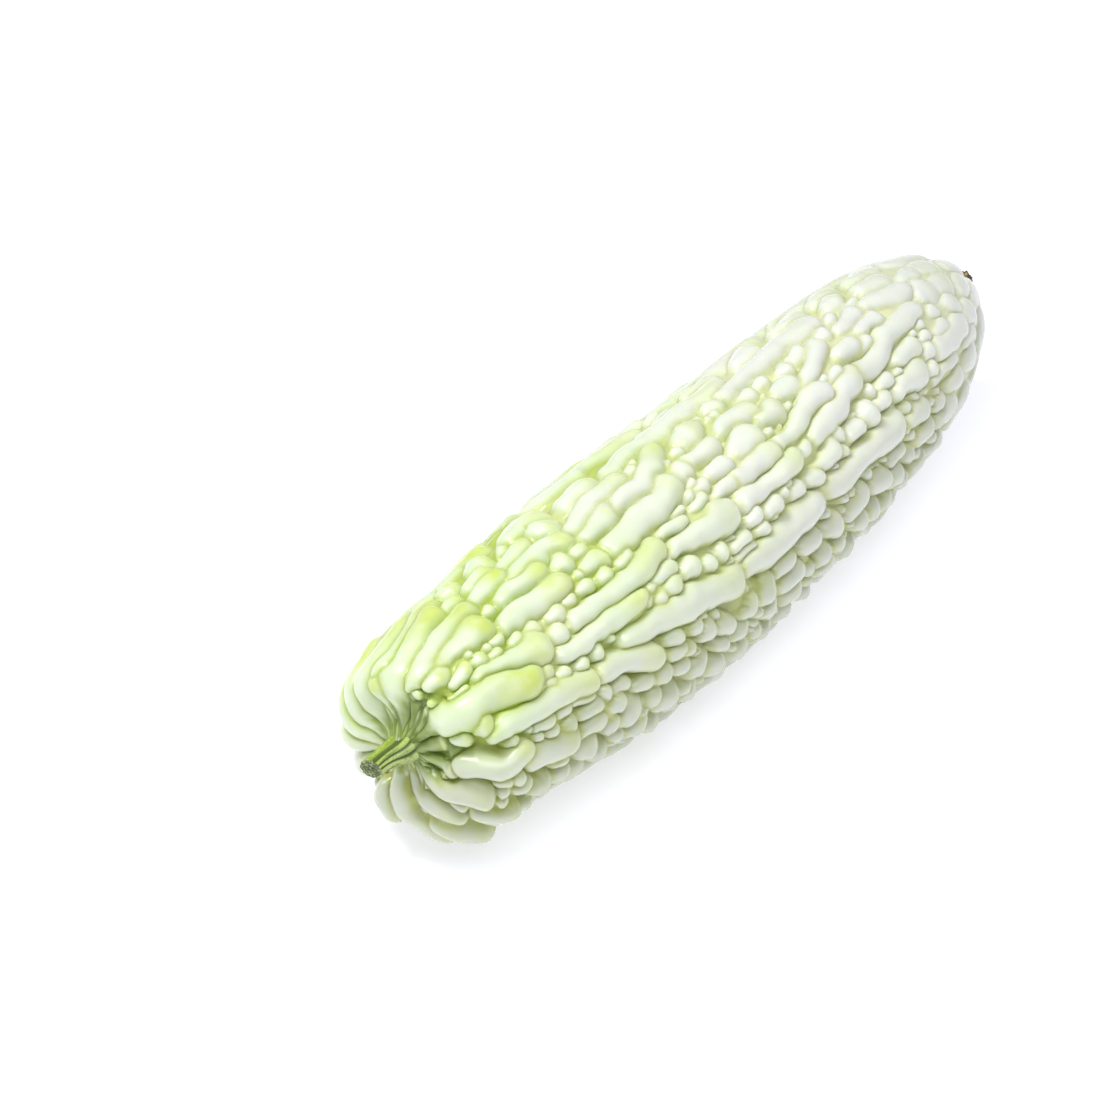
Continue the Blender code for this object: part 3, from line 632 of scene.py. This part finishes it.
def speckleGroup():
    # smooth noise of a given grain, cut off between two levels
    group = bpy.data.node_groups.new("speckle", "ShaderNodeTree")
    for name in ("Grain", "Detail", "Low", "High"):
        group.interface.new_socket(name, in_out="INPUT", socket_type="NodeSocketFloat")
    group.interface.new_socket("Mask", in_out="OUTPUT", socket_type="NodeSocketFloat")
    nodes, links = group.nodes, group.links
    given, result = nodes.new("NodeGroupInput"), nodes.new("NodeGroupOutput")
    coords, noise = nodes.new("ShaderNodeTexCoord"), nodes.new("ShaderNodeTexNoise")
    cut = nodes.new("ShaderNodeMapRange")
    links.new(coords.outputs["Object"], noise.inputs["Vector"])
    links.new(given.outputs["Grain"], noise.inputs["Scale"])
    links.new(given.outputs["Detail"], noise.inputs["Detail"])
    links.new(noise.outputs["Fac"], cut.inputs["Value"])
    links.new(given.outputs["Low"], cut.inputs["From Min"])
    links.new(given.outputs["High"], cut.inputs["From Max"])
    links.new(cut.outputs["Result"], result.inputs["Mask"])
    return group


speckles = speckleGroup()


def speckle(nodes, links, grain, detail, low, high):
    node = nodes.new("ShaderNodeGroup")
    node.node_tree = speckles
    for key, number in (("Grain", grain), ("Detail", detail), ("Low", low), ("High", high)):
        node.inputs[key].default_value = number
    return node.outputs["Mask"]


skinLook = {
    "pale": (0.67, 0.77, 0.52),
    "white": (0.76, 0.78, 0.72),
    "head": (0.58, 0.69, 0.13),
    # this colour is partly real waxy bloom, partly a painted sheen on the crest tops
    "bloomAndSheen": (0.79, 0.82, 0.73),
    # shaded and creaseShaded are painted shade for the underside
    "shaded": (0.51, 0.54, 0.42),
    # crease colours: partly the skin's own greener creases, partly painted shade in them
    "crease": (0.44, 0.55, 0.10),
    "creaseTip": (0.67, 0.70, 0.42),
    "creaseShaded": (0.43, 0.46, 0.15),
    # funnel colours: the stem end's own deeper green with painted shade in the sunken funnel
    "funnel": (0.20, 0.28, 0.05),
    "funnelCrest": (0.40, 0.49, 0.19),
    "roughness": 0.25,
    "subsurface": 0.45,
    "scatter": (0.8, 1.0, 0.18),
    "scatterScale": 0.0024,
}


def skinMaterial():
    material, nodes, links, shader = newMaterial("waxy_gourd_skin")
    crest = readAttribute(nodes, "crest")
    reach = readAttribute(nodes, "reach")
    stemward = readAttribute(nodes, "green")
    base = mixColour(nodes, links, stemward, skinLook["white"], skinLook["pale"])
    heads = multiply(nodes, links, mapRange(nodes, links, reach, 0.6, 1.0), stemward)
    heads = multiply(nodes, links, heads, mapRange(nodes, links, crest, 0.3, 0.9))
    base = mixColour(nodes, links, heads, base, skinLook["head"])
    # partly real waxy bloom, partly a painted sheen: whitish speckles on the tops of the crests
    top = mapRange(nodes, links, crest, 0.7, 1.0)
    bloomAndSheen = multiply(nodes, links, speckle(nodes, links, 160, 3.0, 0.42, 0.66), top)
    base = mixColour(nodes, links, multiply(nodes, links, bloomAndSheen, 0.4), base, skinLook["bloomAndSheen"])
    # painted shade: where the shade attribute is high, the skin and its creases turn a duller grey-green
    shade = readAttribute(nodes, "shade")
    base = mixColour(nodes, links, multiply(nodes, links, shade, 0.75), base, skinLook["shaded"])
    # creases turn olive near the stem and pale yellow-green towards the tip: partly the skin's own greener
    # creases, partly painted shade
    deep = mixColour(nodes, links, stemward, skinLook["creaseTip"], skinLook["crease"])
    deep = mixColour(nodes, links, multiply(nodes, links, shade, 0.8), deep, skinLook["creaseShaded"])
    base = mixColour(nodes, links, mapRange(nodes, links, crest, 0.93, 0.12), base, deep)
    # the skin round the stem turns dark green, darkest in the creases: partly its own deeper green, partly
    # painted shade in the sunken funnel
    funnel = mapRange(nodes, links, readAttribute(nodes, "funnel"), 0.0, 0.9)
    dark = mixColour(nodes, links, mapRange(nodes, links, crest, 0.35, 1.0), skinLook["funnel"],
                     skinLook["funnelCrest"])
    base = mixColour(nodes, links, funnel, base, dark)
    links.new(base, shader.inputs["Base Color"])
    shader.inputs["Roughness"].default_value = skinLook["roughness"]
    shader.inputs["Subsurface Weight"].default_value = skinLook["subsurface"]
    shader.inputs["Subsurface Radius"].default_value = skinLook["scatter"]
    shader.inputs["Subsurface Scale"].default_value = skinLook["scatterScale"]
    return material


skin.data.materials.append(skinMaterial())
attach(skin, "root")
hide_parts("gourd_body")

# The cut stem: ribs by angle, half width in degrees and height
stemLook = {
    "length": 8.7, "sunk": 4.4, "neckRadius": 2.7, "cutRadius": 3.05,
    "rootRadius": 3.2, "rootFan": 3.4, "fanTowards": 95.0, "flareLength": 9.0, "flare": 1.5,
    "ribs": [(-32, 46, 0.8), (36, 15, 0.9), (62, 13, 0.8), (92, 17, 1.1), (120, 13, 0.8),
             (146, 14, 0.9), (172, 15, 1.0), (200, 14, 0.8), (228, 16, 1.0), (262, 20, 0.9)],
    "ribAtCut": 0.42, "ribAtRoot": 1.0,
    "cutLean": 0.30, "rim": 0.3, "rings": 90, "segments": 180, "seed": 3,
    "rib": (0.44, 0.54, 0.18), "top": (0.36, 0.49, 0.065), "furrow": (0.075, 0.12, 0.018),
    "cutPale": (0.40, 0.46, 0.22), "cutDark": (0.11, 0.155, 0.045),
}


def stemSurface():
    # rings from inside the fruit out to the cut's rim, then rings across the cut; the radius
    # falls as a power of the way out, from a wider root on the side of the fan, and each rib
    # is a parabola across its angle
    out = np.linspace(0, 1, stemLook["rings"])[:, None]
    angle = np.linspace(0, 360, stemLook["segments"], endpoint=False)[None, :]
    back = out * stemLook["length"]
    flare = np.clip(1 - back / stemLook["flareLength"], 0, 1) ** stemLook["flare"]
    fan = stemLook["rootFan"] * np.maximum(np.cos(np.radians(angle - stemLook["fanTowards"])), 0)
    radius = stemLook["neckRadius"] + (stemLook["rootRadius"] + fan - stemLook["neckRadius"]) * flare
    radius = radius + (stemLook["cutRadius"] - stemLook["neckRadius"]) * out ** 3
    profile = np.full(out.shape[:1] + angle.shape[1:], -0.25)
    sway = 5 * np.sin(out * 2.6 + 0.4) + 3 * np.sin(out * 7)
    for middle, wide, height in stemLook["ribs"]:
        off = (angle - middle - sway + 180) % 360 - 180
        profile = np.maximum(profile, height * (1 - (off / wide) ** 2) - 0.25)
    draw = np.random.default_rng(stemLook["seed"])
    radians = np.radians(angle)
    spots = np.stack([4 * np.cos(radians) + 0 * out, 4 * np.sin(radians) + 0 * out,
                      back * 0.16 + 0 * radians], -1)
    strands = waves(spots, draw, 1.3, 20)
    ribs = stemLook["ribAtRoot"] + (stemLook["ribAtCut"] - stemLook["ribAtRoot"]) * out ** 0.35
    ring = radius + ribs * (profile - 0.5) + 0.07 * strands + 0.10 * waves(spots, draw, 5.0)
    ring = ring - stemLook["rim"] * np.clip((out - 0.975) / 0.025, 0, 1) ** 2
    depth = -stemLook["sunk"] + back * (1 + stemLook["sunk"] / stemLook["length"])
    shares = np.array([0.93, 0.8, 0.62, 0.42, 0.22])[:, None]
    face = shares * ring[-1:]
    rings = np.vstack([ring, face])
    depth = np.vstack([depth + 0 * ring, depth[-1] - 0.10 - 0.12 * (1 - shares) + 0 * face])
    depth[-5:] += 0.05 * draw.normal(size=face.shape)
    depth = depth - stemLook["cutLean"] * (depth / stemLook["length"]) * rings * np.sin(radians)
    root = onOutline(alongTable[0], 0.0)[0] + shift
    points = np.stack([root[0] - depth, root[1] - rings * np.sin(radians),
                       root[2] + rings * np.cos(radians)], -1)
    tone = np.vstack([np.clip((profile + 0.25) / 1.0, 0, 1), np.ones_like(face)])
    upper = np.vstack([np.clip(np.cos(np.radians(angle + 25)), 0, 1) + 0 * ring, 0 * face])
    cut = np.vstack([np.clip((out - 0.985) / 0.01, 0, 1) + 0 * ring, np.ones_like(face)])
    strand = np.vstack([strands, 0 * face])
    away = np.vstack([out + 0 * ring, np.ones_like(face)])
    return points, tone, upper, cut, strand, away


print("cutting the stem")
stemPoints, ribTone, upperSide, cutFace, strand, stemOut = stemSurface()
stem = tubeMesh("ribbed_stem", stemPoints * mm, stemPoints[0].mean(0) * mm,
                stemPoints[-1].mean(0) * mm)
paintAttribute(stem, "rib", np.append(ribTone.ravel(), [0, 1]))
paintAttribute(stem, "upper", np.append(upperSide.ravel(), [0, 0]))
paintAttribute(stem, "cut", np.append(cutFace.ravel(), [0, 1]))
paintAttribute(stem, "strand", np.append(strand.ravel(), [0, 0]))
paintAttribute(stem, "out", np.append(stemOut.ravel(), [0, 1]))


def stemMaterial():
    material, nodes, links, shader = newMaterial("fresh_cut_stem")
    rib, upper = readAttribute(nodes, "rib"), readAttribute(nodes, "upper")
    pale = mixColour(nodes, links, upper, stemLook["rib"], stemLook["top"])
    side = mixColour(nodes, links, mapRange(nodes, links, rib, 0.25, 0.85), stemLook["furrow"], pale)
    streak = mapRange(nodes, links, readAttribute(nodes, "strand"), 0.2, 1.6)
    side = mixColour(nodes, links, multiply(nodes, links, streak, 0.5), side, stemLook["furrow"])
    dots = multiply(nodes, links, speckle(nodes, links, 1300, 2.0, 0.56, 0.66), 0.5)
    side = mixColour(nodes, links, dots, side, stemLook["furrow"])
    speck = speckle(nodes, links, 1900, 1.0, 0.5, 0.62)
    face = mixColour(nodes, links, speck, stemLook["cutDark"], stemLook["cutPale"])
    base = mixColour(nodes, links, readAttribute(nodes, "cut"), side, face)
    links.new(base, shader.inputs["Base Color"])
    shader.inputs["Roughness"].default_value = 0.5
    shader.inputs["Subsurface Weight"].default_value = 0.15
    shader.inputs["Subsurface Radius"].default_value = skinLook["scatter"]
    shader.inputs["Subsurface Scale"].default_value = 0.002
    return material


stem.data.materials.append(stemMaterial())
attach(stem, "root")
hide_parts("stem")

# The dried flower on the tip
flowerLook = {
    "length": 2.9, "radius": 2.7, "rings": 40, "segments": 72, "seed": 11,
    "dark": (0.07, 0.045, 0.02), "tan": (0.40, 0.28, 0.12),
}


def flowerSurface():
    # a low knob with crumpled folds: the radius follows a power of a sine from the tip out,
    # with folds round it that deepen outwards
    share = np.linspace(0.02, 0.98, flowerLook["rings"])[:, None]
    angle = np.linspace(0, 2 * math.pi, flowerLook["segments"], endpoint=False)[None, :]
    draw = np.random.default_rng(flowerLook["seed"])
    spots = np.stack([2 * np.cos(angle) + 0 * share, 2 * np.sin(angle) + 0 * share,
                      3 * share + 0 * angle], -1)
    folds = 0.16 * np.sin(5 * angle + 3 * share) + 0.10 * np.sin(9 * angle - 5 * share)
    ring = flowerLook["radius"] * np.sin(share * math.pi) ** 0.6 * (1 - 0.25 * share)
    ring = ring * (1 + folds * share + 0.13 * waves(spots, draw, 1.8))
    depth = flowerLook["length"] * (1 - np.cos(share * math.pi)) / 2
    depth = depth + 0.25 * waves(spots, draw, 1.4) * share
    tip = onOutline(alongTable[-1], 0.0)[0] + shift
    points = np.stack([tip[0] - 0.4 + depth, tip[1] - ring * np.sin(angle),
                       tip[2] + ring * np.cos(angle)], -1)
    return points, folds * 3 + 0.5 + 0 * share


print("drying the flower")
flowerPoints, foldTone = flowerSurface()
flower = tubeMesh("dried_flower", flowerPoints * mm, flowerPoints[0].mean(0) * mm,
                  flowerPoints[-1].mean(0) * mm)
paintAttribute(flower, "fold", np.append(foldTone.ravel(), [0.5, 0.5]))


def flowerMaterial():
    material, nodes, links, shader = newMaterial("dried_petals")
    tone = speckle(nodes, links, 1100, 3.0, 0.42, 0.66)
    tone = multiply(nodes, links, tone, readAttribute(nodes, "fold"))
    base = mixColour(nodes, links, tone, flowerLook["dark"], flowerLook["tan"])
    links.new(base, shader.inputs["Base Color"])
    shader.inputs["Roughness"].default_value = 0.8
    return material


flower.data.materials.append(flowerMaterial())
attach(flower, "root")
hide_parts("blossom_remnant")

# Studio
studio = {
    "azimuth": -54.43, "elevation": 36.0, "distance": 1.1, "lens": 121.5,
    "aimRight": -0.04466, "aimUp": -0.01134,
    "keyLight": {"spot": (-0.38, -0.10, 0.95), "size": 0.34, "power": 6.2},
    "frontLight": {"spot": (0.10, -0.46, 1.0), "size": 0.8, "power": 5.3},
    "lightsAim": (0, 0, 0.03),
    "floorSize": 6.0, "floorColour": (0.84, 0.82, 0.92), "floorRoughness": 0.7,
    "floorGlow": (0.93, 0.95, 1.0), "floorGlowStrength": 0.49,
    "sky": (0.97, 0.98, 1.0), "skyStrength": 0.38,
}


def placeCamera():
    # the camera stands back from the fruit's middle along the view, moved across it by aim
    a, e = math.radians(studio["azimuth"]), math.radians(studio["elevation"])
    back = np.array([math.sin(a) * math.cos(e), -math.cos(a) * math.cos(e), math.sin(e)])
    right = np.array([math.cos(a), math.sin(a), 0.0])
    up = np.cross(back, right)
    middle = np.array([fruit["length"] / 2, 0, 0]) * mm + shift * mm
    spot = middle + back * studio["distance"] + right * studio["aimRight"] + up * studio["aimUp"]
    camera = bpy.data.objects.new("camera", bpy.data.cameras.new("camera"))
    camera.data.lens = studio["lens"]
    camera.data.sensor_width = 36
    camera.data.clip_end = 50
    matrix = np.eye(4)
    matrix[:3, 0], matrix[:3, 1], matrix[:3, 2], matrix[:3, 3] = right, up, back, spot
    camera.matrix_world = Matrix(matrix.tolist())
    bpy.context.scene.collection.objects.link(camera)
    bpy.context.scene.camera = camera
    return right, back


def areaLight(name, light, right, away):
    # stands by the fruit as the camera sees it: so far right, away and up, turned to the fruit
    sideways, back, high = light["spot"]
    spot = sideways * right + back * away + np.array([0, 0, high])
    lamp = bpy.data.objects.new(name, bpy.data.lights.new(name, "AREA"))
    lamp.data.size = light["size"]
    lamp.data.energy = light["power"]
    lamp.location = tuple(spot)
    turn = Vector(studio["lightsAim"]) - Vector(tuple(spot))
    lamp.rotation_euler = turn.to_track_quat("-Z", "Y").to_euler()
    bpy.context.scene.collection.objects.link(lamp)


print("setting up the studio")
cameraRight, cameraBack = placeCamera()
level = math.hypot(cameraBack[0], cameraBack[1])
cameraAway = np.array([-cameraBack[0], -cameraBack[1], 0]) / level
areaLight("key_light", studio["keyLight"], cameraRight, cameraAway)
areaLight("front_light", studio["frontLight"], cameraRight, cameraAway)

floorMesh = bpy.data.meshes.new("floor")
half = studio["floorSize"] / 2
corners = [(-half, -half, 0), (half, -half, 0), (half, half, 0), (-half, half, 0)]
floorMesh.from_pydata(corners, [], [(0, 1, 2, 3)])
floor = bpy.data.objects.new("floor", floorMesh)
bpy.context.scene.collection.objects.link(floor)
floorMaterial, nodes, links, shader = newMaterial("pale_floor")
shader.inputs["Base Color"].default_value = (*studio["floorColour"], 1)
shader.inputs["Roughness"].default_value = studio["floorRoughness"]
shader.inputs["Emission Color"].default_value = (*studio["floorGlow"], 1)
shader.inputs["Emission Strength"].default_value = studio["floorGlowStrength"]
floor.data.materials.append(floorMaterial)

world = bpy.data.worlds.new("studio")
world.use_nodes = True
sky = world.node_tree.nodes["Background"]
sky.inputs["Color"].default_value = (*studio["sky"], 1)
sky.inputs["Strength"].default_value = studio["skyStrength"]
bpy.context.scene.world = world
bpy.context.scene.view_settings.view_transform = "Standard"
